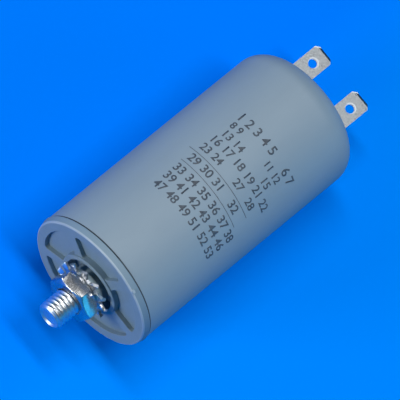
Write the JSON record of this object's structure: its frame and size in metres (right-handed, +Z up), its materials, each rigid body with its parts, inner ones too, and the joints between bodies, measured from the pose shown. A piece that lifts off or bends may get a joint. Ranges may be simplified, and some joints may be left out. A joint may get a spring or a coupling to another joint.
{
  "type": "motor run capacitor",
  "caption": "Round plastic-cased motor run capacitor with a ribbed lid, a threaded mounting stud with nut and toothed lock washer, and flat blade tabs at the far end.",
  "frame": {"origin": "on the can's axis, on the face of the lid's boss where the lock washer sits and the panel is clamped", "axes": "+X along the can from the stud to the blade tabs, so the stud points to -X; the tabs lie flat in XY, side by side along Y; +Z is up out of the tabs' faces"},
  "size_m": [0.1089, 0.0404, 0.0404],
  "materials": {
    "case_plastic": "grey moulded plastic, fine matt skin",
    "lid_plastic": "grey moulded plastic, satin",
    "plated_steel": "zinc-plated, threaded",
    "washer_steel": "zinc-plated spring steel",
    "nut_steel": "zinc-plated, bright",
    "tinned_tab": "tin-plated brass, dull",
    "film": "metallised film, wound",
    "core_plastic": "natural",
    "zinc_spray": "sprayed, rough",
    "lead_wire": "bare wire",
    "resin": "cast"
  },
  "bodies": {
    "root": {"case": "case_plastic", "end_cap": "lid_plastic", "mounting_stud": "plated_steel", "lock_washer": "washer_steel", "hex_nut": "nut_steel", "terminal_left": "tinned_tab", "terminal_right": "tinned_tab", "film_winding": "film", "winding_core": "core_plastic", "tab_end_spray": "zinc_spray", "cap_end_spray": "zinc_spray", "short_lead": "lead_wire", "long_lead": "lead_wire", "potting_resin": "resin"}
  },
  "joints": []
}
